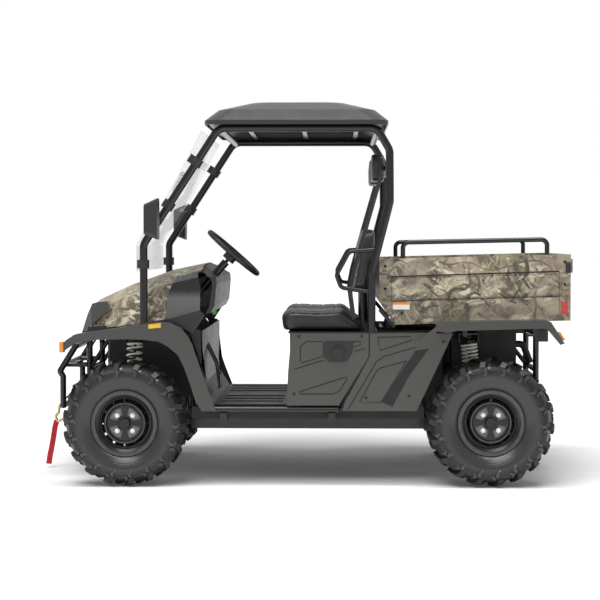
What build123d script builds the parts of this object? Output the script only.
"""Two-seat side-by-side utility vehicle.

Millimetres. X runs forward, Y to the vehicle's left, Z up. The origin is on the ground, under the
middle of the vehicle's outline. A side outline is a list of (x, z) points.
"""

import os
from math import cos, radians, sin

from build123d import *

os.makedirs("parts", exist_ok=True)

# ---------------------------------------------------------------- driving dimensions
wheelbase = 1850
front_axle_x = 876
rear_axle_x = front_axle_x - wheelbase

front_tyre_radius = 320
front_tyre_width = 205
front_rim_width = 152
rear_tyre_radius = 326
rear_tyre_width = 250
rear_rim_width = 190
track_outer_y = 722
bead_radius = 152
flange_radius = 166
spindle_radius = 17.5
spindle_clearance = 0.05
kingpin_inset = 75
steer_arm = 85
steer_arm_rise = 22

frame_y = 235
rail_y = 320
floor_top = 414
body_y = 662
fender_y = 700
side_skin = 12
deck_z = 776
deck_skin = 6

cage_y = 635
cage_tube_radius = 20
roof_rail_z = 1812
cage_foot_x = 782
cage_foot_z = 790
rear_fender_z = 836
bed_rest_z = 807

bed_half_width = 560
bed_front_x = -413
bed_rear_x = -1387
bed_wall = 25
bed_hinge_x = -1300
bed_hinge_z = 812

seat_gap = 0.3

frame_tube = 16
lower_tube_z = 286
front_nose_x = 1118
front_top_z = 745
rear_lower_z = 278
rear_top_z = 770
rear_end_x = -1250
pivot_radius = 14
pivot_y = frame_y + 34
shock_top_z = 742


strut_y = -150
strut_base = Vector(bed_hinge_x + 80, strut_y, bed_hinge_z - 220)
strut_eye = Vector(bed_hinge_x + 240, strut_y, bed_hinge_z - 20)
strut_run = (strut_eye - strut_base).normalized()
strut_length = (strut_eye - strut_base).length
strut_pin = 6
hitch_x = -1345
hitch_z = 300
hitch_hole = 9.75
strut_eye_half = 8
hinge_pin = 8
pin_clearance = 0.08


# ---------------------------------------------------------------- helpers
def side_plane(y):
    """Sketch plane at the given Y: its x runs forward and its y up; it extrudes to the right."""
    return Plane.XZ.offset(-y)


def add_box(x0, x1, y0, y1, z0, z1, mode=Mode.ADD):
    """Box between two corners, added to the part being built."""
    middle = ((x0 + x1) / 2, (y0 + y1) / 2, (z0 + z1) / 2)
    with Locations(middle):
        Box(abs(x1 - x0), abs(y1 - y0), abs(z1 - z0), mode=mode)


def add_panel(outline, y_outer, thickness, mode=Mode.ADD):
    """Flat panel of a side outline, from y_outer to the right by its thickness."""
    with BuildSketch(side_plane(y_outer)) as face:
        with BuildLine():
            Polyline(*outline, close=True)
        make_face()
    extrude(face.sketch, amount=thickness, mode=mode)


def add_strip(outline, y_outer, width, thickness, mode=Mode.ADD):
    """Sheet that follows an open side outline, thickness below or behind it, width across."""
    with BuildSketch(side_plane(y_outer)) as face:
        with BuildLine() as edge:
            Polyline(*outline)
        trace(edge.line, line_width=thickness)
    extrude(face.sketch, amount=width, mode=mode)


def add_tube(points, radius, bend, mode=Mode.ADD):
    """Round tube along straight runs joined by bends."""
    with BuildLine() as path:
        FilletPolyline(*points, radius=bend)
    with BuildSketch(Plane(origin=path.line @ 0, z_dir=path.line % 0)) as section:
        Circle(radius)
    sweep(section.sketch, path=path.line, mode=mode)


def add_bar(start, end, radius, mode=Mode.ADD):
    """Straight round bar between two points."""
    run = Vector(*end) - Vector(*start)
    with BuildSketch(Plane(origin=start, z_dir=run)) as section:
        Circle(radius)
    extrude(section.sketch, amount=run.length, mode=mode)


def finish(piece, name):
    """Labels a finished piece and writes it."""
    piece.part.label = name
    export_step(piece.part, f"parts/{name}.step")


# ---------------------------------------------------------------- wheels
# place, axle x, side, tyre radius, tyre width, rim width
wheels = [
    ("front_left", front_axle_x, 1, front_tyre_radius, front_tyre_width, front_rim_width),
    ("front_right", front_axle_x, -1, front_tyre_radius, front_tyre_width, front_rim_width),
    ("rear_left", rear_axle_x, 1, rear_tyre_radius, rear_tyre_width, rear_rim_width),
    ("rear_right", rear_axle_x, -1, rear_tyre_radius, rear_tyre_width, rear_rim_width),
]
vent_count = 12
vent_ring_radius = 113
vent_radius = 7.5
stud_ring_radius = 55
stud_count = 4
stud_radius = 8
cap_radius = 29
hub_radius = 45
tread_depth = 15
lug_count = 18
lug_width = 28
lug_slant = 22
pad_inner = 41
pad_outer = 80
pad_flare = 0.45
pad_rise = 5


def wheel_plane(axle_x, side, radius, width):
    """Plane through the axle: x runs outwards from the wheel's middle and y up."""
    middle_y = side * (track_outer_y - width / 2)
    return Plane(origin=(axle_x, middle_y, radius), x_dir=(0, side, 0), z_dir=(side, 0, 0))


left_tyres = []
left_rims = []
for place, axle_x, side, tyre_radius, tyre_width, rim_width in wheels:
    if side < 0:
        with BuildPart() as tyre:
            add(left_tyres[-1].mirror(Plane.XZ))
        finish(tyre, f"{place}_tyre")
        with BuildPart() as rim:
            add(left_rims[-1].mirror(Plane.XZ))
        finish(rim, f"{place}_rim")
        continue
    plane = wheel_plane(axle_x, side, tyre_radius, tyre_width)
    axle = Axis((axle_x, 0, tyre_radius), (0, side, 0))
    half_tyre = tyre_width / 2
    half_rim = rim_width / 2
    seat = half_rim - 4

    with BuildPart() as tyre:
        with BuildSketch(plane):
            with BuildLine():
                l1 = Polyline(
                    (-seat, flange_radius + 2),
                    (-seat, bead_radius + seat_gap),
                    (-seat + 20, bead_radius + seat_gap),
                    (-seat + 14, flange_radius + 6),
                    (-half_tyre + 14, 232),
                    (-half_tyre + 26, tyre_radius - 40),
                    (half_tyre - 26, tyre_radius - 40),
                    (half_tyre - 14, 232),
                    (seat - 14, flange_radius + 6),
                    (seat - 20, bead_radius + seat_gap),
                    (seat, bead_radius + seat_gap),
                    (seat, flange_radius + 2),
                )
                l2 = ThreePointArc(l1 @ 1, (half_tyre, 226), (half_tyre - 12, tyre_radius - 42))
                l3 = ThreePointArc(l2 @ 1, (0, tyre_radius - tread_depth),
                                   (-half_tyre + 12, tyre_radius - 42))
                ThreePointArc(l3 @ 1, (-half_tyre, 226), l1 @ 0)
            make_face()
        revolve(axis=axle)
        for tread_side in (1, -1):
            lug_planes = []
            for step in range(lug_count):
                turn = radians(360 * (step + (0 if tread_side > 0 else 0.5)) / lug_count)
                up = plane.y_dir * cos(turn) + plane.z_dir * sin(turn)
                round_way = plane.z_dir * cos(turn) - plane.y_dir * sin(turn)
                slant = radians(tread_side * lug_slant)
                across = plane.x_dir * cos(slant) + round_way * sin(slant)
                lug_planes.append(Plane(plane.origin, x_dir=across, z_dir=across.cross(up)))
            # (outwards, radius) of the lug's outline in its slanted plane
            lug_line = [(12, tyre_radius - 24), (12, tyre_radius), (half_tyre * 0.5, tyre_radius - 3),
                        (half_tyre - 10, tyre_radius - 16), (half_tyre + 6, tyre_radius - 42),
                        (half_tyre, tyre_radius - 66), (half_tyre - 16, tyre_radius - 50),
                        (half_tyre * 0.5, tyre_radius - 30)]
            with BuildSketch(*lug_planes):
                with BuildLine():
                    Polyline(*[(tread_side * out, height) for out, height in lug_line],
                             close=True)
                make_face()
            extrude(amount=lug_width / 2, both=True)
    left_tyres.append(tyre.part)
    finish(tyre, f"{place}_tyre")

    # disc sections: (outward, radius) of its outer face, from the barrel to the middle
    disc_face = [(half_rim - 42, 134), (half_rim - 40, 122), (half_rim - 18, 103),
                 (half_rim - 18, 96), (half_rim - 30, 90), (half_rim - 30, 0)]
    disc_back = [(half_rim - 56, 0), (half_rim - 56, spindle_radius + spindle_clearance),
                 (-half_rim + 41, spindle_radius + spindle_clearance), (-half_rim + 41, hub_radius),
                 (half_rim - 36, hub_radius), (half_rim - 36, 94), (half_rim - 25, 99.5),
                 (half_rim - 47, 118), (half_rim - 48, 134)]
    barrel = [(-half_rim - 2, flange_radius), (-half_rim + 4 - seat_gap, flange_radius),
              (-half_rim + 4 - seat_gap, bead_radius), (-half_rim + 26, bead_radius),
              (-half_rim + 36, 138), (half_rim - 36, 138), (half_rim - 26, bead_radius),
              (half_rim - 4 + seat_gap, bead_radius), (half_rim - 4 + seat_gap, flange_radius),
              (half_rim + 2, flange_radius), (half_rim + 2, 158), (half_rim, 148),
              (half_rim - 24, 148), (half_rim - 34, 133), (-half_rim + 34, 133),
              (-half_rim + 24, 148), (-half_rim, 148), (-half_rim - 2, 158)]
    with BuildPart() as rim:
        with BuildSketch(plane):
            with BuildLine():
                Polyline(*barrel, close=True)
            make_face()
            with BuildLine():
                Polyline(*disc_face, *disc_back, close=True)
            make_face()
        revolve(axis=axle)
        outer = Plane(origin=plane.origin + plane.x_dir * (half_rim + 20), z_dir=-plane.x_dir)
        with BuildSketch(outer):
            with PolarLocations(vent_ring_radius, vent_count):
                Circle(vent_radius)
        extrude(amount=90, mode=Mode.SUBTRACT)
        cap_face = Plane(origin=plane.origin + plane.x_dir * (half_rim - 30), z_dir=plane.x_dir)
        with BuildSketch(cap_face):
            Circle(cap_radius)
        extrude(amount=20, taper=12)
        pad_face = Plane(origin=cap_face.origin, x_dir=(0.7071, 0, 0.7071), z_dir=plane.x_dir)
        with BuildSketch(pad_face):
            with PolarLocations(0, stud_count):
                Polygon((pad_inner, pad_inner * pad_flare), (pad_outer, pad_outer * pad_flare),
                        (pad_outer, -pad_outer * pad_flare), (pad_inner, -pad_inner * pad_flare),
                        align=None)
        extrude(amount=pad_rise)
        with BuildSketch(pad_face.offset(pad_rise)):
            with PolarLocations(stud_ring_radius, stud_count):
                RegularPolygon(stud_radius, 6)
        extrude(amount=stud_radius)
    left_rims.append(rim.part)
    finish(rim, f"{place}_rim")

# ---------------------------------------------------------------- knuckles
knuckle_half = 100
rear_pair = []
for place, axle_x, side, tyre_radius, tyre_width, rim_width in wheels:
    steered = place.startswith("front")
    wheel_y = track_outer_y - tyre_width / 2
    upright_y = wheel_y - kingpin_inset if steered else wheel_y - rim_width / 2 - 20
    spindle_end = wheel_y + rim_width / 2 - 56 - 1
    with BuildPart() as knuckle:
        with Locations((axle_x, side * upright_y, tyre_radius)):
            Box(36, 30, 2 * knuckle_half - 40)
            Cylinder(15, 2 * knuckle_half)
        with BuildSketch(Plane(origin=(axle_x, side * upright_y, tyre_radius), z_dir=(0, side, 0))):
            Circle(34)
        extrude(amount=28, both=False)
        with BuildSketch(Plane(origin=(axle_x, side * upright_y, tyre_radius), z_dir=(0, side, 0))):
            Circle(spindle_radius)
        extrude(amount=spindle_end - upright_y)
        if steered:
            arm_z = tyre_radius + steer_arm_rise
            add_box(axle_x - steer_arm - 12, axle_x, side * (upright_y - 10),
                    side * (upright_y + 10), arm_z, arm_z + 12)
    if steered:
        finish(knuckle, f"{place}_knuckle")
    else:
        rear_pair.append(knuckle.part)
with BuildPart() as rear_knuckles:
    add(rear_pair)
finish(rear_knuckles, "rear_knuckles")

# ---------------------------------------------------------------- suspension sizes
arm_radius = 12
pad_radius = 20
joint_gap = 0.6
kingpin_y = track_outer_y - front_tyre_width / 2 - kingpin_inset
rear_arm_y = track_outer_y - rear_tyre_width / 2 - rear_rim_width / 2 - 35 - seat_gap
coil_radius = 44
# axle x, half spread, z of the lower and of the upper pivots
pivot_table = [
    (front_axle_x, 110, lower_tube_z, 452),
    (rear_axle_x, 110, rear_lower_z, 440),
]
# axle x, offsets of the lower and upper eye along x, y and z of the lower eye, y of the upper eye
shock_table = [
    (front_axle_x, -8, -20, 410, 476, 380),
    (rear_axle_x, 70, 92, 392, 476, 376),
]
pivot_length = 46
bracket_plate = 5


def add_pivot_brackets(axle_x, spread, low_z, high_z):
    """Pairs of ears on the frame tubes that hold the pivots of one axle's arms."""
    for side in (1, -1):
        for z in (low_z, high_z):
            for fore in (1, -1):
                for end in (1, -1):
                    x = axle_x + fore * spread + end * (pivot_length / 2 + seat_gap)
                    add_box(x, x + end * bracket_plate, side * frame_y,
                            side * (pivot_y + pivot_radius), z - 15, z + 15)
        for fore in (1, -1):
            x = axle_x + fore * spread
            add_bar((x, side * frame_y, low_z), (x, side * frame_y, high_z + 16), 10)


def add_shock_tower(axle_x, high_x, high_y):
    """Shelf and web on both frame sides that hold the upper eyes of one axle's dampers."""
    for side in (1, -1):
        x = axle_x + high_x
        add_box(x - 52, x + 52, side * frame_y, side * (high_y + 30), shock_top_z + 14,
                shock_top_z + 20)
        for end in (1, -1):
            add_box(x + end * 52, x + end * 48, side * frame_y, side * (high_y + 30),
                    shock_top_z - 24, shock_top_z + 20)


# ---------------------------------------------------------------- frame
# x from, x to, y from, y to, z from, z to; each member stands on both sides
rail_members = [
    (-660, 560, rail_y - 22, rail_y + 22, 258, 318),
    (360, 395, rail_y, body_y - 6, 330, 372),
    (-190, -155, rail_y, body_y - 6, 330, 372),
    (-385, -355, 290, 320, 300, deck_z - seat_gap),
    (-10, 20, 290, 320, 300, deck_z - seat_gap),
    (360, 395, rail_y - 20, rail_y + 20, 300, 372),
    (-190, -155, rail_y - 20, rail_y + 20, 300, 372),
]
# x from, x to, z from, z to; each member runs across between the rails
rail_crossers = [(520, 560, 262, 298), (60, 100, 262, 298), (-300, -260, 262, 298),
                 (-660, -620, 262, 298)]
with BuildPart() as main_frame:
    for x0, x1, y0, y1, z0, z1 in rail_members:
        add_box(x0, x1, y0, y1, z0, z1)
        add_box(x0, x1, -y1, -y0, z0, z1)
    for x0, x1, z0, z1 in rail_crossers:
        add_box(x0, x1, -rail_y, rail_y, z0, z1)
finish(main_frame, "main_frame")

rail_end_gap = 0.3
with BuildPart() as front_frame:
    front_start_x = 560 + rail_end_gap
    for side in (1, -1):
        y = side * frame_y
        add_box(front_start_x, front_start_x + 8, side * 190, side * 345, 262, 314)
        add_tube([(front_start_x, y, lower_tube_z), (front_nose_x, y, lower_tube_z),
                  (front_nose_x, y, front_top_z), (630, y, front_top_z), (600, y, 600)],
                 frame_tube, 40)
        add_bar((600, y, 606), (600, y, lower_tube_z), frame_tube)
        add_bar((front_nose_x, y, 560), (1000, y, front_top_z), 11)
        add_bar((1010, y, lower_tube_z), (1010, y, front_top_z), 11)
        add_bar((730, y, lower_tube_z), (730, y, front_top_z), 11)
    for x, z in [(690, lower_tube_z), (1010, lower_tube_z), (front_nose_x, 300),
                 (front_nose_x, 560), (1010, front_top_z), (730, front_top_z)]:
        add_bar((x, -frame_y, z), (x, frame_y, z), frame_tube - 2)
    for side in (1, -1):
        add_bar((cage_foot_x, side * frame_y, front_top_z + 10),
                (cage_foot_x, side * (cage_y + 16), cage_foot_z - 16 - seat_gap), 16)
    add_pivot_brackets(*pivot_table[0])
    add_shock_tower(shock_table[0][0], shock_table[0][2], shock_table[0][5])
finish(front_frame, "front_frame")

with BuildPart() as rear_frame:
    rear_start_x = -660 - rail_end_gap
    for side in (1, -1):
        y = side * frame_y
        add_box(rear_start_x, rear_start_x - 8, side * 190, side * 345, 262, 314)
        add_tube([(rear_start_x, y, rear_lower_z), (rear_end_x, y, rear_lower_z),
                  (rear_end_x, y, rear_top_z), (-420, y, rear_top_z)], frame_tube, 40)
        add_bar((-430, y, rear_top_z), (-700, y, rear_lower_z), frame_tube - 2)
        add_bar((-838, y, rear_lower_z), (-838, y, rear_top_z), 11)
        add_bar((-1118, y, rear_lower_z), (-1118, y, rear_top_z), 11)
        add_box(bed_hinge_x - 14, rear_end_x, side * (frame_y - 6), side * (frame_y + 6),
                rear_top_z - 60, bed_hinge_z + 14)
    for x, z in [(-805, rear_lower_z), (-1145, rear_lower_z), (rear_end_x, hitch_z),
                 (rear_end_x, 560), (-845, rear_top_z), (-1200, rear_top_z),
                 (-440, rear_top_z)]:
        add_bar((x, -frame_y, z), (x, frame_y, z), frame_tube - 2)
    for x in (-845, -1200):
        for side in (1, -1):
            add_bar((x, side * frame_y, rear_top_z), (x, side * 640, rear_top_z), 12)
            add_box(x - 12, x + 12, side * 596, side * 632, rear_top_z,
                    rear_fender_z - 4 - seat_gap)
    add_bar((bed_hinge_x, -frame_y - 20, bed_hinge_z), (bed_hinge_x, frame_y + 20, bed_hinge_z),
            hinge_pin + pin_clearance, mode=Mode.SUBTRACT)
    for side in (1, -1):
        y = strut_y + side * (strut_eye_half + 9)
        add_panel([(rear_end_x, 560), (rear_end_x + 14, 552), (strut_base.X + 14, strut_base.Z),
                   (strut_base.X, strut_base.Z + 14), (strut_base.X - 14, strut_base.Z + 2)],
                  y + 2, 4)
        add_box(-500, -460, side * (frame_y - 14), side * (frame_y + 14), rear_top_z,
                bed_rest_z)
    add_bar((strut_base.X, strut_y - strut_eye_half - 11, strut_base.Z),
            (strut_base.X, strut_y + strut_eye_half + 11, strut_base.Z), strut_pin)
    add_box(hitch_x - 25, rear_end_x, -40, 40, hitch_z - 6, hitch_z + 6)
    with Locations((hitch_x, 0, hitch_z)):
        Cylinder(hitch_hole, 12, mode=Mode.SUBTRACT)
    add_pivot_brackets(*pivot_table[1])
    add_shock_tower(shock_table[1][0], shock_table[1][2], shock_table[1][5])
finish(rear_frame, "rear_frame")

# ---------------------------------------------------------------- suspension
with BuildPart() as front_arms:
    lower_z = front_tyre_radius - knuckle_half - 10 - joint_gap
    upper_z = front_tyre_radius + knuckle_half + 10 + joint_gap
    low_pivot_z, high_pivot_z = pivot_table[0][2:]
    spread = pivot_table[0][1]
    shock_x, _, shock_y, shock_z = shock_table[0][1:5]
    for side in (1, -1):
        for z in (lower_z, upper_z):
            with Locations((front_axle_x, side * kingpin_y, z)):
                Cylinder(pad_radius, 20)
        for fore in (1, -1):
            x = front_axle_x + fore * spread
            for z in (low_pivot_z, high_pivot_z):
                with Locations((x, side * pivot_y, z)):
                    Cylinder(pivot_radius, pivot_length, rotation=(0, 90, 0))
            end = front_axle_x + fore * 8
            add_bar((x, side * pivot_y, low_pivot_z), (end, side * (kingpin_y - 8), lower_z - 4),
                    arm_radius)
            add_tube([(x, side * pivot_y, high_pivot_z),
                      (front_axle_x + fore * 80, side * (kingpin_y - 100), high_pivot_z - 6),
                      (end, side * (kingpin_y - 6), upper_z + 2)], 10, 20)
        add_box(front_axle_x - 92, front_axle_x + 92, side * (shock_y - 14), side * (shock_y + 14),
                shock_z - 26, shock_z - 14)

with BuildPart() as rear_arms:
    low_pivot_z, high_pivot_z = pivot_table[1][2:]
    spread = pivot_table[1][1]
    shock_x, _, shock_y, shock_z = shock_table[1][1:5]
    for side in (1, -1):
        for fore in (1, -1):
            x = rear_axle_x + fore * spread
            for z in (low_pivot_z, high_pivot_z):
                with Locations((x, side * pivot_y, z)):
                    Cylinder(pivot_radius, pivot_length, rotation=(0, 90, 0))
            add_bar((x, side * pivot_y, low_pivot_z), (rear_axle_x + fore * 6, side * 456, 240),
                    arm_radius)
            add_bar((x, side * pivot_y, high_pivot_z), (rear_axle_x + fore * 6, side * 456, 420),
                    11)
        add_box(rear_axle_x - 18, rear_axle_x + 18, side * 446, side * rear_arm_y, 228, 252)
        add_box(rear_axle_x - 18, rear_axle_x + 18, side * 446, side * rear_arm_y, 404, 426)
        x = rear_axle_x + shock_x
        add_box(x - 58, x + 16, side * (shock_y - 14), side * (shock_y + 14),
                shock_z - 48, shock_z - 14)

with BuildPart() as suspension_arms:
    add([front_arms.part, rear_arms.part])
finish(suspension_arms, "suspension_arms")


def shock_line(row, side):
    """Lower and upper eye of one damper."""
    axle_x, low_x, high_x, low_y, low_z, high_y = row
    low = Vector(axle_x + low_x, side * low_y, low_z)
    high = Vector(axle_x + high_x, side * high_y, shock_top_z)
    return low, high


with BuildPart() as dampers:
    for row in shock_table:
        for side in (1, -1):
            low, high = shock_line(row, side)
            run = high - low
            add_bar(low, low + run * 0.5, 20)
            add_bar(low, high, 8)
            add_bar(low + run * 0.17, low + run * 0.2, coil_radius)
            add_bar(high - run * 0.11, high - run * 0.08, coil_radius)
            for eye, foot in ((low, -1), (high, 1)):
                with Locations(eye):
                    Cylinder(13, 30, rotation=(0, 90, 0))
                add_box(eye.X - 14, eye.X + 14, eye.Y - 9, eye.Y + 9, eye.Z,
                        eye.Z + foot * (14 - seat_gap))
finish(dampers, "dampers")

with BuildPart() as springs:
    for row in shock_table:
        for side in (1, -1):
            low, high = shock_line(row, side)
            run = high - low
            with BuildSketch(Plane(origin=low + run * 0.202, z_dir=run)) as section:
                Circle(coil_radius)
                Circle(24, mode=Mode.SUBTRACT)
            extrude(section.sketch, amount=run.length * 0.686)
finish(springs, "springs")

# ---------------------------------------------------------------- drive line
with BuildPart() as engine_block:
    add_box(-760, -360, -190, 190, 322, 640)

front_case_half = 120
rear_case_half = 140
with BuildPart() as gear_cases:
    with Locations((front_axle_x, 0, front_tyre_radius)):
        Cylinder(82, 150, rotation=(90, 0, 0))
        Cylinder(40, 2 * front_case_half, rotation=(90, 0, 0))
    add_bar((front_axle_x, 0, front_tyre_radius), (front_axle_x - 150, 0, front_tyre_radius), 36)
    with Locations((rear_axle_x, 0, rear_tyre_radius)):
        Cylinder(100, 200, rotation=(90, 0, 0))
        Cylinder(42, 2 * rear_case_half, rotation=(90, 0, 0))
    add_box(-760 - seat_gap, rear_axle_x, -90, 90, 335, 420)

shaft_radius = 12
boot_radius = 34
with BuildPart() as drive_shafts:
    # axle x, z, y of the inner joint, y of the outer joint
    for axle_x, z, inner_y, outer_y in [
        (front_axle_x, front_tyre_radius, front_case_half + seat_gap, kingpin_y - 30),
        (rear_axle_x, rear_tyre_radius, rear_case_half + seat_gap, rear_arm_y),
    ]:
        for side in (1, -1):
            add_bar((axle_x, side * inner_y, z), (axle_x, side * outer_y, z), shaft_radius)
            for y, reach in [(inner_y, 60), (outer_y, -60)]:
                with BuildSketch(Plane(origin=(axle_x, side * y, z),
                                       z_dir=(0, side * reach, 0))) as mouth:
                    Circle(boot_radius)
                extrude(mouth.sketch, amount=abs(reach), taper=14)
    add_bar((front_axle_x - 151, 0, front_tyre_radius), (-359, 0, 345), 17)

with BuildPart() as power_train:
    add([engine_block.part, gear_cases.part, drive_shafts.part])
finish(power_train, "power_train")

with BuildPart() as muffler:
    with BuildSketch(Plane.YZ.offset(-1147)):
        with Locations((110, 690)):
            RectangleRounded(190, 110, 36)
    extrude(amount=190)
    add_tube([(-1120, 110, 690), (-1195, 110, 690), (-1235, 110, 590)], 18, 30)
    add_tube([(-1000, 110, 650), (-1000, 110, 560), (-760 - seat_gap, 110, 560)], 18, 40)
finish(muffler, "muffler")

# ---------------------------------------------------------------- cage
# corners of one side of the cage, as (x, z), from the front foot to the rear foot
cage_line = [(cage_foot_x, cage_foot_z), (cage_foot_x, 1225), (400, roof_rail_z),
             (-398, roof_rail_z), (-463, 1700), (-465, 1440), (-373, 1085),
             (-373, deck_z + deck_skin + seat_gap)]
with BuildPart() as cage_sides:
    for side in (1, -1):
        add_tube([(x, side * cage_y, z) for x, z in cage_line], cage_tube_radius, 70)
        for x, z in (cage_line[0], cage_line[-1]):
            with Locations((x, side * cage_y, z + 4)):
                Cylinder(26, 8)
finish(cage_sides, "cage_sides")


def cut_cage_sides():
    """Takes the room of the cage's side tubes out of the part being built."""
    for side in (1, -1):
        corners = [(x, side * cage_y, z) for x, z in cage_line]
        add_tube(corners, cage_tube_radius + 0.05, 70, mode=Mode.SUBTRACT)


# x, z, radius of each bar that runs across the cage
crossbar_table = [(392, 1806, 18), (-404, 1806, 18), (-464, 1620, 16), (-384, 1110, 14)]
hoop_radius = 11
with BuildPart() as cage_bars:
    reach = cage_y - 16
    for x, z, radius in crossbar_table:
        add_bar((x, -reach, z), (x, reach, z), radius)
    for side in (1, -1):
        y = side * cage_y
        add_tube([(-394, y, 1199), (-259, y, 1189), (-195, y, 1070), (-218, y, 1007),
                  (-371, y, 983)], hoop_radius, 30)
    cut_cage_sides()
finish(cage_bars, "cage_bars")


# ---------------------------------------------------------------- roof and windshield
roof_middle_x = 8
roof_skin = 6
# z, length along x, width along y, corner radius
roof_levels = [(1828, 930, 1364, 80), (1850, 930, 1364, 80), (1908, 800, 1220, 90),
               (1956, 500, 900, 110)]
rib_xs = (270, -20, -300)
with BuildPart() as roof_void:
    for z, length, width, corner in roof_levels:
        with BuildSketch(Plane.XY.offset(z - roof_skin)):
            with Locations((roof_middle_x, 0)):
                RectangleRounded(length - 2 * roof_skin, width - 2 * roof_skin, corner - roof_skin)
    loft(ruled=True)
    for x in rib_xs:
        add_box(x - 12, x + 12, -700, 700, roof_rail_z + cage_tube_radius + seat_gap, 2000,
                mode=Mode.SUBTRACT)
with BuildPart() as roof:
    for z, length, width, corner in roof_levels:
        with BuildSketch(Plane.XY.offset(z)):
            with Locations((roof_middle_x, 0)):
                RectangleRounded(length, width, corner)
    loft(ruled=True)
    add(roof_void.part, mode=Mode.SUBTRACT)
finish(roof, "roof")

sheet_skin = 5
sheet_line = [(817, 1085), (817, 1218), (795, 1268), (648, 1495), (486, 1800)]
with BuildPart() as windshield:
    add_strip(sheet_line, 640, 1280, sheet_skin)
finish(windshield, "windshield")

slope = Vector(400 - cage_foot_x, 0, roof_rail_z - 1225).normalized()
clamp_radius = 29
clamp_half = 22
# x, z on the pillar's middle line, direction of the tube, reach of the lug
clamp_table = [
    (cage_foot_x, 1125, Vector(0, 0, 1), 32),
    (cage_foot_x - 198 * 382 / 587, 1423, slope, 32),
    (cage_foot_x - 415 * 382 / 587, 1640, slope, 45),
]
with BuildPart() as sheet_clamps:
    for x, z, along, reach in clamp_table:
        for side in (1, -1):
            middle = Vector(x, side * cage_y, z)
            front = Vector(along.Z, 0, -along.X)
            base = Plane(origin=middle - along * clamp_half, x_dir=front, z_dir=along)
            with BuildSketch(base) as ring:
                Circle(clamp_radius)
                with Locations((reach / 2, 0)):
                    Rectangle(reach, 24)
                Circle(cage_tube_radius + 0.1, mode=Mode.SUBTRACT)
            extrude(ring.sketch, amount=2 * clamp_half)
finish(sheet_clamps, "sheet_clamps")

# ---------------------------------------------------------------- hood and cowl
# x, half width and z at the lower edge, at the shoulder and at the crown, z in the middle
hood_stations = [
    (1075, 450, 790, 415, 872, 230, 922, 932),
    (900, 560, 806, 505, 950, 300, 1000, 1012),
    (690, 592, 842, 545, 1015, 330, 1072, 1086),
    (500, 600, 880, 560, 1060, 360, 1112, 1126),
    (400, 602, 900, 565, 1075, 370, 1125, 1140),
]


def hood_section(station, inset):
    """Cross-section of the hood at one station, made smaller by the inset."""
    x, low_y, low_z, mid_y, mid_z, top_y, top_z, crown_z = station
    with BuildSketch(Plane.YZ.offset(x)) as section:
        with BuildLine():
            edge = Polyline((-(top_y - inset), top_z - inset), (-(mid_y - inset), mid_z - inset),
                            (-(low_y - inset), low_z - 2 * inset),
                            (low_y - inset, low_z - 2 * inset), (mid_y - inset, mid_z - inset),
                            (top_y - inset, top_z - inset))
            ThreePointArc(edge @ 0, (0, crown_z - inset), edge @ 1)
        make_face()
    return section.sketch


hood_skin = 5
with BuildPart() as hood_inside:
    for station in hood_stations:
        add(hood_section(station, hood_skin))
    loft(ruled=True)
with BuildPart() as hood_shell:
    for station in hood_stations[:4]:
        add(hood_section(station, 0))
    loft(ruled=True)
    add(hood_inside.part, mode=Mode.SUBTRACT)

cheek_line = [(599, 1120), (636, 1046), (666, 971), (683, 820), (470, 820), (470, 929),
              (508, 1034), (532, 1120)]
lamp_line = [(1099, 860), (1070, 918), (1040, 926), (985, 932), (965, 885), (1000, 872),
             (1047, 832), (1079, 800), (1091, 778), (1131, 772)]
with BuildPart() as headlamps:
    for y, inward in ((530, 1), (-530, -1)):
        add_panel(lamp_line, y, inward * 190)
        with BuildSketch(Plane.XY.offset(700)) as corner:
            with BuildLine():
                Polyline((1140, inward * 395), (1200, inward * 600), (900, inward * 600),
                         (950, inward * 530), (1075, inward * 462), close=True)
            make_face()
        extrude(corner.sketch, amount=300, mode=Mode.SUBTRACT)
finish(headlamps, "headlamps")

with BuildPart() as hood:
    add(hood_shell.part)
    for y in (700, -440):
        add_panel([(605, 1150)] + cheek_line[:4] + [(683, 800), (450, 800), (450, 1150)], y, 260,
                  mode=Mode.SUBTRACT)
    add(headlamps.part, mode=Mode.SUBTRACT)
finish(hood, "hood")

with BuildPart() as cheeks:
    add(hood_shell.part)
    add_box(450, 1200, -440.3, 440.3, 700, 1300, mode=Mode.SUBTRACT)
    with BuildSketch(side_plane(800)) as keep:
        with BuildLine():
            Polyline(*[(x - 1, z) for x, z in cheek_line], close=True)
        make_face()
    extrude(keep.sketch, amount=1600, mode=Mode.INTERSECT)
finish(cheeks, "cheeks")

dash_line = [(560, 1100), (494, 1120), (470, 1095), (420, 1058), (417, 1021), (428, 911),
             (465, 837), (478, 790), (500, 790), (488, 840), (452, 912), (440, 1018),
             (445, 1046), (488, 1078), (560, 1074)]
steer_middle = Vector(346, 300, 1179)
steer_down = Vector(0.659, 0, -0.752).normalized()
column_radius = 21
with BuildPart() as dash:
    add_panel(dash_line, 590, 1180)
    with BuildPart(mode=Mode.PRIVATE) as dash_limit:
        for station in hood_stations:
            add(hood_section(station, hood_skin + 3))
        loft(ruled=True)
    add(dash_limit.part, mode=Mode.INTERSECT)
    add_bar(steer_middle, steer_middle + steer_down * 320, column_radius + 0.2,
            mode=Mode.SUBTRACT)
finish(dash, "dash")

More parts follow.
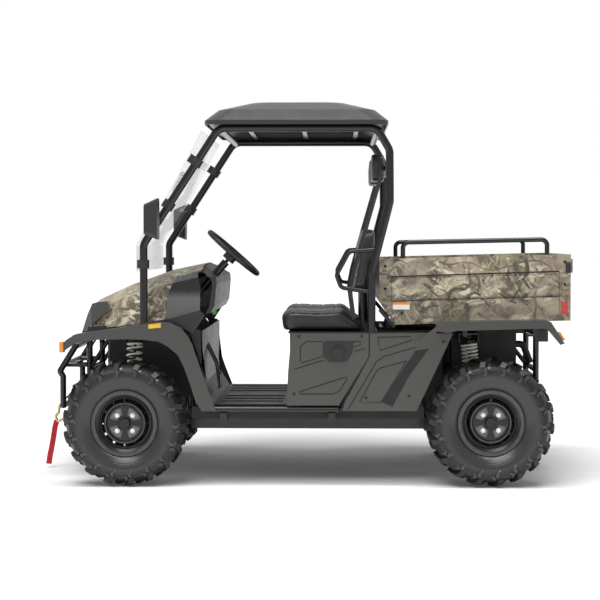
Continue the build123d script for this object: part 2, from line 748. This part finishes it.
# ---------------------------------------------------------------- front end
# side outline of the fender: along the top to the tip of the rear leg, then back along the arch
fender_line = [(1182, 685), (1172, 740), (1127, 770), (1057, 782), (921, 800), (791, 822),
               (705, 834), (640, 830), (588, 806), (555, 765), (533, 725), (505, 645), (462, 517),
               (410, 384), (483, 384), (513, 429), (541, 517), (573, 605), (605, 669), (653, 709),
               (700, 735), (781, 745), (868, 747), (1018, 744), (1122, 726)]
fender_top_points = 8
fender_lip = 6
fender_inner_y = 604
cage_hole = 1
with BuildPart() as front_fenders:
    for y, inward in ((fender_y, 1), (-fender_y, -1)):
        add_panel(fender_line, y, inward * fender_lip)
        outer_edge = [(x, z - 2) for x, z in fender_line[1:fender_top_points]]
        add_strip(outer_edge, y, inward * (fender_y - fender_inner_y), 4)
        with Locations((cage_foot_x, inward * cage_y, 820)):
            Cylinder(cage_tube_radius + cage_hole, 80, mode=Mode.SUBTRACT)

grille_line = [(1079, 914), (1104, 866), (1133, 775), (1168, 712)]
with BuildPart() as grille:
    add_strip(grille_line, 330, 660, 8)
    for z in (888, 852, 816, 780, 744):
        add_box(1040, 1200, -290, 290, z - 8, z + 8, mode=Mode.SUBTRACT)
    for y in (-150, 0, 150):
        add_strip(grille_line, y + 7, 14, 8)
finish(grille, "grille")

with BuildPart() as turn_lamps:
    for side in (1, -1):
        add_box(1182 + seat_gap, 1203, side * 646, side * 700, 680, 732)
        add_panel([(-1303.5, 784), (-1329.5, 744), (-1346, 744), (-1320, 784)],
                  side * 650 + 30, 60)
finish(turn_lamps, "turn_lamps")

bumper_y = 330
bumper_tube = 16
bumper_low_z = 374
bumper_face_x = 1245
with BuildPart() as front_bumper:
    for side in (1, -1):
        y = side * bumper_y
        add_tube([(1172, y, 700), (1262, y, 556), (bumper_face_x, y, 530),
                  (bumper_face_x, y, bumper_low_z - 10)], bumper_tube, 12)
        y = side * frame_y
        add_bar((front_nose_x + frame_tube + seat_gap, y, bumper_low_z),
                (bumper_face_x, y, bumper_low_z), 13)
        add_bar((front_nose_x + frame_tube + seat_gap, y, 585),
                (bumper_face_x + 2, y, 585), 13)
    for x, z in [(bumper_face_x, bumper_low_z), (bumper_face_x + 2, 585), (1186, 684)]:
        add_bar((x, -bumper_y, z), (x, bumper_y, z), bumper_tube - 2)
    add_strip([(1236, 368), (1222, 330), (1170, 262)], 190, 380, 4)
finish(front_bumper, "front_bumper")

line_z = 430
hook_x = 1322
with BuildPart() as winch:
    add_box(1172, 1216, -80, 80, 392, 470)
    add_box(front_nose_x + frame_tube + seat_gap, 1180, -215, 215, 386, 392)
    for side in (1, -1):
        with Locations((1196, side * 112, line_z)):
            Cylinder(38, 64, rotation=(90, 0, 0))
    add_box(1216, 1228, -120, 120, 396, 464)
    add_box(1228, 1240, -60, 60, 400, 460)
    add_bar((1240, 0, line_z), (hook_x, 0, 343), 4)
finish(winch, "winch")

with BuildPart() as winch_hook:
    add_tube([(hook_x, 0, 334), (hook_x + 4, 0, 304), (hook_x + 22, 0, 280), (hook_x + 8, 0, 252),
              (hook_x - 16, 0, 266)], 7, 9)
    with Locations((hook_x, 0, 335.5 - seat_gap)):
        Cylinder(11, 10)
finish(winch_hook, "winch_hook")

strap_width = 28
with BuildPart() as pull_strap:
    add_strip([(hook_x + 9, 248.6), (1352, 190), (1401, 12)], strap_width / 2, strap_width, 3)
finish(pull_strap, "pull_strap")

# ---------------------------------------------------------------- cab floor and sides
sill_radius = 16
sill_z = 372 + seat_gap + sill_radius
floor_bottom = sill_z + sill_radius + seat_gap
with BuildPart() as side_steps:
    for side in (1, -1):
        y = side * (body_y - 20)
        add_tube([(496, y, 470), (462, y, sill_z), (-206, y, sill_z)], sill_radius, 60)
finish(side_steps, "side_steps")

seat_front_x = 40
floor_skin = 7
floor_middle = floor_bottom + floor_skin / 2
with BuildPart() as floor_pan:
    add_strip([(seat_front_x + seat_gap, floor_middle), (430, floor_middle), (492, 500), (489, 785)], 600, 1200,
              floor_skin)
    for y in (-450, -300, -150, 150, 300, 450):
        add_box(80, 400, y - 8, y + 8, floor_middle, floor_top + 2)
    for y in (210, 320):
        add_strip([(489, 700), (440, 600), (424, 500)], y + 7, 14, 10)
        add_box(414, 426, y - 35, y + 35, 470, 540)
finish(floor_pan, "floor_pan")

with BuildPart() as seat_base:
    add_box(-404, seat_front_x + 8, -body_y, body_y, deck_z, deck_z + deck_skin)
    add_box(seat_front_x - 6, seat_front_x, -(body_y - side_skin - 1), body_y - side_skin - 1,
            floor_bottom, deck_z)
    add_box(-404, -386, -226, 226, deck_z - 60, deck_z)

seat_side_line = [(32, deck_z - seat_gap), (49, 581), (56, 411), (-207, 411), (-358, 659),
                  (-358, deck_z - seat_gap)]
quarter_line = [(-362, deck_z - seat_gap), (-362, 655), (-214, 383), (-600, 383),
                (-783, deck_z - seat_gap)]
with BuildPart() as seat_sides:
    add_panel(seat_side_line, body_y, side_skin)
    add_panel(seat_side_line, -body_y + side_skin, side_skin)

with BuildPart() as rear_quarters:
    for y in (body_y, -body_y + side_skin):
        add_panel(quarter_line, y, side_skin)
    for side in (1, -1):
        add_box(-410, -780, side * 586, side * body_y, deck_z - 6, deck_z - seat_gap)

with BuildPart() as side_panels:
    add([seat_sides.part, rear_quarters.part])
finish(side_panels, "side_panels")

rear_fender_line = [(-594, 730), (-700, 818), (-722, rear_fender_z), (-1246, rear_fender_z + 10),
                    (-1268, rear_fender_z), (-1336, 730), (-1316, 722), (-1250, 800),
                    (-1234, 804), (-790, 792), (-762, 780), (-700, 790), (-606, 716)]
rear_fender_inner_y = 576
with BuildPart() as rear_fenders:
    for y, inward in ((715, 1), (-715, -1)):
        add_panel(rear_fender_line, y, inward * 6)
        skin_line = [(x, z - 2) for x, z in rear_fender_line[1:6]]
        add_strip(skin_line, y, inward * (715 - rear_fender_inner_y), 4)

with BuildPart() as fenders:
    add([front_fenders.part, rear_fenders.part])
finish(fenders, "fenders")

with BuildPart() as fuel_cap:
    with Locations((-203, body_y + seat_gap + 6, 675)):
        Cylinder(38, 12, rotation=(90, 0, 0))
        Cylinder(26, 30, rotation=(90, 0, 0))
    add_box(-300, -100, body_y + seat_gap - 1, body_y + seat_gap, 640, 720, mode=Mode.SUBTRACT)
    add_box(-300, -100, 500, body_y + seat_gap, 600, 760, mode=Mode.SUBTRACT)
finish(fuel_cap, "fuel_cap")

# ---------------------------------------------------------------- seats
seat_y = 305
seat_width = 490
back_width = 460
cushion_line = [(86, 800), (92, 845), (76, 876), (40, 884), (-230, 884), (-330, 800),
                (-330, deck_z + deck_skin + seat_gap), (80, deck_z + deck_skin + seat_gap)]
back_line = [(-280, 985), (-318, 1240), (-344, 1304), (-392, 1304), (-396, 1240), (-342, 985)]
with BuildPart() as seat_cushions:
    for side in (1, -1):
        add_panel(cushion_line, side * seat_y + seat_width / 2, seat_width)
finish(seat_cushions, "seat_cushions")

with BuildPart() as seat_backs:
    for side in (1, -1):
        add_panel(back_line, side * seat_y + back_width / 2, back_width)

with BuildPart() as headrests:
    for side in (1, -1):
        with Locations((-412, side * seat_y, 1622)):
            Box(72, 250, 146)
    fillet(headrests.edges(), radius=20)
    for side in (1, -1):
        add_box(-447.7, -440, side * seat_y - 40, side * seat_y + 40, 1612, 1628)
    for x, z, radius in crossbar_table[2:3]:
        add_bar((x, -640, z), (x, 640, z), radius + 0.1, mode=Mode.SUBTRACT)

with BuildPart() as seat_tops:
    add([seat_backs.part, headrests.part])
finish(seat_tops, "seat_backs")

with BuildPart() as seat_frames:
    for side in (1, -1):
        for inset in (-150, 150):
            y = side * seat_y + inset
            add_box(-384, -352, y - 15, y + 15, 1096, 1124)
            add_bar((-330, y, 990), (-330, y, deck_z + deck_skin + seat_gap), 12)
    for x, z, radius in crossbar_table[3:4]:
        add_bar((x, -640, z), (x, 640, z), radius + 0.1, mode=Mode.SUBTRACT)
    add(seat_backs.part, mode=Mode.SUBTRACT)
    add(seat_cushions.part, mode=Mode.SUBTRACT)

with BuildPart() as seat_structure:
    add([seat_base.part, seat_frames.part])
finish(seat_structure, "seat_structure")

belt_width = 40
belt_outer_y = 612
with BuildPart() as seat_belts:
    for y in (belt_outer_y, -belt_outer_y + belt_width):
        add_strip([(-428, 1596), (-264, 1040), (-284, 830)], y, belt_width, 3)
        add_box(-300, -268, y, y - belt_width, deck_z + deck_skin + seat_gap, 832)
        add_box(-438, -420, y, y - belt_width, 1580, 1600)
finish(seat_belts, "seat_belts")

# ---------------------------------------------------------------- steering
wheel_ring_radius = 163
wheel_grip = 14
column_start = 62
with BuildPart() as steering_column:
    start = steer_middle + steer_down * column_start
    add_bar(start, steer_middle + steer_down * 250, column_radius)
    add_bar(start, start + steer_down * 60, 9.06, mode=Mode.SUBTRACT)
    joint = steer_middle + steer_down * 245
    add_bar(joint, (600, 190, 800), 10)
    with Locations((600, 190, 800)):
        Sphere(14)
    add_bar((600, 190, 800), (772, 150, 424), 10)

with BuildPart() as steering_wheel:
    tilt = Plane(origin=steer_middle, x_dir=(0, 1, 0), z_dir=steer_down)
    start_arm = (tilt.x_dir + tilt.y_dir) * sin(radians(45))
    with BuildSketch(Plane(origin=steer_middle + start_arm * wheel_ring_radius,
                           x_dir=start_arm, z_dir=start_arm.cross(steer_down))) as grip:
        Circle(wheel_grip)
    revolve(grip.sketch, axis=Axis(steer_middle, steer_down))
    for turn in (0, 180, 270):
        arm = tilt.x_dir * cos(radians(turn)) + tilt.y_dir * sin(radians(turn))
        add_bar(steer_middle + steer_down * 20 + arm * 6, steer_middle + arm * wheel_ring_radius, 8)
    add_bar(steer_middle + steer_down * 2, steer_middle + steer_down * 48, 34)
    add_bar(steer_middle + steer_down * 40, steer_middle + steer_down * (column_start + 50), 9)
finish(steering_wheel, "steering_wheel")

rack_x = front_axle_x - steer_arm
rack_z = 386
rack_half = 130
link_end_z = front_tyre_radius + steer_arm_rise - joint_gap
with BuildPart() as rack_housing:
    with Locations((rack_x, 0, rack_z)):
        Cylinder(21, 2 * rack_half, rotation=(90, 0, 0))
        Cylinder(9.06, 2 * rack_half, rotation=(90, 0, 0), mode=Mode.SUBTRACT)
    for side in (1, -1):
        add_box(rack_x + 6, rack_x + 16, side * 100, side * 118, rack_z + 14, front_top_z - 30)

with BuildPart() as steering_gear:
    add([steering_column.part, rack_housing.part])
finish(steering_gear, "steering_gear")

with BuildPart() as steering_rack:
    add_bar((rack_x, -200, rack_z), (rack_x, 200, rack_z), 9)
    for side in (1, -1):
        add_bar((rack_x, side * 192, rack_z), (rack_x, side * kingpin_y, link_end_z - 10), 8)
        with Locations((rack_x, side * kingpin_y, link_end_z - 9)):
            Cylinder(12, 18)
finish(steering_rack, "steering_rack")


with BuildPart() as mirrors:
    for side in (1, -1):
        with BuildSketch(Plane.YZ.offset(694)) as glass_side:
            with Locations((side * 758, 1352)):
                RectangleRounded(120, 206, 24)
        with BuildSketch(Plane.YZ.offset(764)) as nose_side:
            with Locations((side * 752, 1350)):
                RectangleRounded(76, 150, 20)
        loft([glass_side.sketch, nose_side.sketch], ruled=True)
        add_bar((696, side * (cage_y + 17), 1350), (716, side * 702, 1350), 9)
    cut_cage_sides()
finish(mirrors, "mirrors")

# ---------------------------------------------------------------- cargo bed
bed_height = 338
bed_rake = 0.0246
bed_front_bottom = 813
floor_rise = 24


def bed_point(x, rise):
    """Point of the bed's side outline at x, rise above its raked lower edge."""
    return (x, bed_front_bottom + (bed_front_x - x) * bed_rake + rise)


tailgate_gap = 5.5
gate_front_x = bed_rear_x + 22
hinge_x = bed_rear_x + 11
hinge_rise = 12
gate_half = bed_half_width - bed_wall - tailgate_gap
gate_pin = 6
chamfer_x = bed_front_x - 80
bed_groove_rises = (242, 127)
groove_width = 14
groove_depth = 4
with BuildPart() as bed_sides:
    for y in (bed_half_width, -bed_half_width + bed_wall):
        add_panel([bed_point(bed_front_x, bed_height), bed_point(bed_rear_x, bed_height),
                   bed_point(bed_rear_x, 0), bed_point(chamfer_x, 0),
                   bed_point(bed_front_x, 120)], y, bed_wall)
    for rise in bed_groove_rises:
        for side in (1, -1):
            add_panel([bed_point(bed_front_x - 16, rise + groove_width / 2),
                       bed_point(bed_rear_x + 16, rise + groove_width / 2),
                       bed_point(bed_rear_x + 16, rise - groove_width / 2),
                       bed_point(bed_front_x - 16, rise - groove_width / 2)],
                      side * bed_half_width + groove_depth, 2 * groove_depth, mode=Mode.SUBTRACT)
    hinge_at = bed_point(hinge_x, hinge_rise)
    add_bar((hinge_at[0], -bed_half_width + 5, hinge_at[1]),
            (hinge_at[0], bed_half_width - 5, hinge_at[1]), gate_pin + pin_clearance,
            mode=Mode.SUBTRACT)

bed_inner = bed_half_width - bed_wall - seat_gap
with BuildPart() as bed_floor:
    floor_end = gate_front_x + 16
    add_panel([bed_point(-480, floor_rise), bed_point(floor_end, floor_rise),
               bed_point(floor_end, floor_rise + 5), bed_point(-480, floor_rise + 5)],
              bed_inner, 2 * bed_inner)
    for y in (-frame_y - 40, frame_y):
        add_panel([bed_point(-500, -2), bed_point(floor_end, -2),
                   bed_point(floor_end, floor_rise + 1), bed_point(-500, floor_rise + 1)],
                  y + 40, 40)

with BuildPart() as bed_front:
    add_panel([bed_point(bed_front_x, bed_height), bed_point(bed_front_x, 120),
               bed_point(chamfer_x, 1), bed_point(chamfer_x, 24), bed_point(-479, 29.5),
               bed_point(bed_front_x - 22, 128), bed_point(bed_front_x - 22, bed_height)],
              bed_inner, 2 * bed_inner)
    add(bed_floor.part, mode=Mode.SUBTRACT)

with BuildPart() as bed_walls:
    add([bed_sides.part, bed_front.part])
finish(bed_walls, "bed_walls")

ear_gap = 0.3
hinge_ear = frame_y + 6 + ear_gap
with BuildPart() as bed_hinges:
    for side in (1, -1):
        middle = side * (hinge_ear + 5)
        add_panel([(bed_hinge_x - 16, bed_hinge_z - 12), (bed_hinge_x + 16, bed_hinge_z - 12),
                   bed_point(bed_hinge_x + 16, 0), bed_point(bed_hinge_x - 16, 0)],
                  middle + 5, 10)
        add_bar((bed_hinge_x, side * (frame_y - 10), bed_hinge_z),
                (bed_hinge_x, side * (hinge_ear + 12), bed_hinge_z), hinge_pin)


with BuildPart() as bed_bottom:
    add(bed_floor.part)
    add(bed_hinges.part)
    for side in (1, -1):
        y = strut_y + side * (strut_eye_half + 3)
        add_panel([(strut_eye.X - 18, strut_eye.Z - 14), (strut_eye.X + 18, strut_eye.Z - 14),
                   bed_point(strut_eye.X + 18, floor_rise + 2),
                   bed_point(strut_eye.X - 18, floor_rise + 2)], y + 2, 4)
    add_bar((strut_eye.X, strut_y - strut_eye_half - 5, strut_eye.Z),
            (strut_eye.X, strut_y + strut_eye_half + 5, strut_eye.Z), strut_pin)
finish(bed_bottom, "bed_floor")

rail_front_x = -534
rail_rear_x = -1267
rail_y_bed = bed_half_width - bed_wall / 2
with BuildPart() as bed_rails:
    for side in (1, -1):
        y = side * rail_y_bed
        front = bed_point(rail_front_x, bed_height + seat_gap)
        rear = bed_point(rail_rear_x, bed_height + seat_gap)
        add_tube([(front[0], y, front[1]), (front[0], y, 1235), (rear[0], y, 1250),
                  (rear[0], y, rear[1])], 12, 30)
finish(bed_rails, "bed_rails")

with BuildPart() as tailgate:
    add_panel([bed_point(gate_front_x, hinge_rise + 4), bed_point(bed_rear_x, hinge_rise + 4),
               bed_point(bed_rear_x, bed_height), bed_point(gate_front_x, bed_height)],
              gate_half, 2 * gate_half)
    add_bar((hinge_at[0], -gate_half, hinge_at[1]), (hinge_at[0], gate_half, hinge_at[1]), 10)
    add_bar((hinge_at[0], -gate_half - 17, hinge_at[1]),
            (hinge_at[0], gate_half + 17, hinge_at[1]), gate_pin)
    for side in (1, -1):
        add_box(bed_rear_x, bed_rear_x - 14, side * (gate_half - 34), side * (gate_half - 4),
                1080, 1150)
finish(tailgate, "tailgate")

with BuildPart() as tail_lamps:
    for side in (1, -1):
        y = side * (bed_half_width + 2 + seat_gap)
        add_panel([bed_point(-1338, 32), bed_point(-1372, 32), bed_point(-1372, 98),
                   bed_point(-1338, 98)], y + 2, 4)
finish(tail_lamps, "tail_lamps")

# ---------------------------------------------------------------- bed hinge and gas strut
with BuildPart() as strut_cylinder:
    add_bar(strut_base, strut_base + strut_run * (strut_length - 28), 12)
    with Locations(strut_base):
        Cylinder(13, 2 * strut_eye_half, rotation=(90, 0, 0))
        Cylinder(strut_pin + pin_clearance, 30, rotation=(90, 0, 0), mode=Mode.SUBTRACT)
    add_bar(strut_base + strut_run * 22, strut_eye, 4.06, mode=Mode.SUBTRACT)
finish(strut_cylinder, "strut_cylinder")

eye_clearance = 4.6
with BuildPart() as strut_rod:
    add_bar(strut_base + strut_run * 24, strut_eye - strut_run * 12, 4)
    with Locations(strut_eye):
        Cylinder(strut_pin + eye_clearance + 5, 2 * strut_eye_half - 2, rotation=(90, 0, 0))
        Cylinder(strut_pin + eye_clearance, 2 * strut_eye_half, rotation=(90, 0, 0),
                 mode=Mode.SUBTRACT)
finish(strut_rod, "strut_rod")
